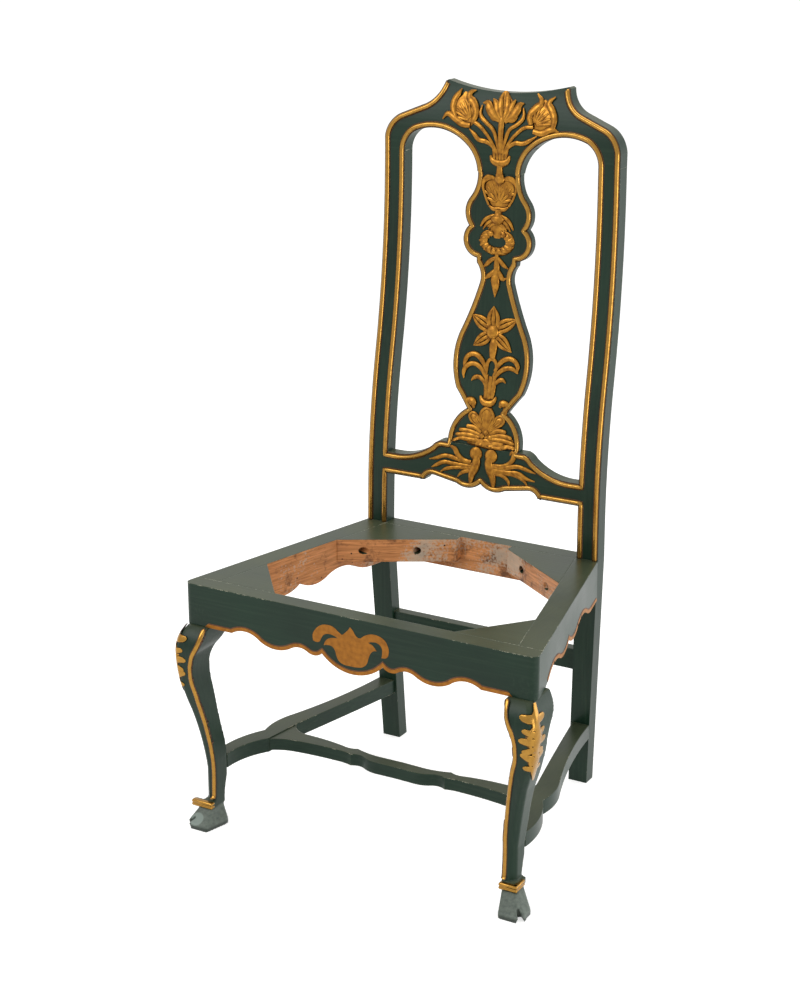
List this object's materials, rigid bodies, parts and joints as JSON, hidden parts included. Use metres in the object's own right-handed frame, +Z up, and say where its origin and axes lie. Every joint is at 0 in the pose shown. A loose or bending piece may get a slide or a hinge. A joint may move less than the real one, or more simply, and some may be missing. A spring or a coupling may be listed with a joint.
{
  "type": "painted baroque side chair",
  "caption": "Tall-backed side chair with a vase-shaped splat, cabriole front legs on cloven hooves, an open seat frame and serpentine stretchers.",
  "frame": {"origin": "middle of the bounding box, on the floor under the feet", "axes": "+X to the right as seen from the front, -Y out of the front of the seat, +Z up from the floor"},
  "size_m": [0.5672, 0.488, 1.0285],
  "materials": {
    "green_paint": "hardwood under old dark green oil paint, semi-gloss, worn at the edges",
    "raw_wood": "bare old softwood, sawn and unpainted",
    "iron": "dark, dull old iron"
  },
  "bodies": {
    "root": {"rear_post_right": "green_paint", "rear_post_left": "green_paint", "crest_rail": "green_paint", "lower_back_rail": "green_paint", "back_splat": "green_paint", "seat_rail_front": "green_paint", "seat_rail_rear": "green_paint", "seat_rail_right": "green_paint", "seat_rail_left": "green_paint", "corner_block_front_left": "raw_wood", "corner_block_front_right": "raw_wood", "corner_block_rear_left": "raw_wood", "corner_block_rear_right": "raw_wood", "corner_block_screws": "iron", "front_leg_right": "green_paint", "front_leg_left": "green_paint", "side_stretcher_right": "green_paint", "side_stretcher_left": "green_paint", "cross_stretcher": "green_paint", "rear_stretcher": "green_paint"}
  },
  "joints": []
}
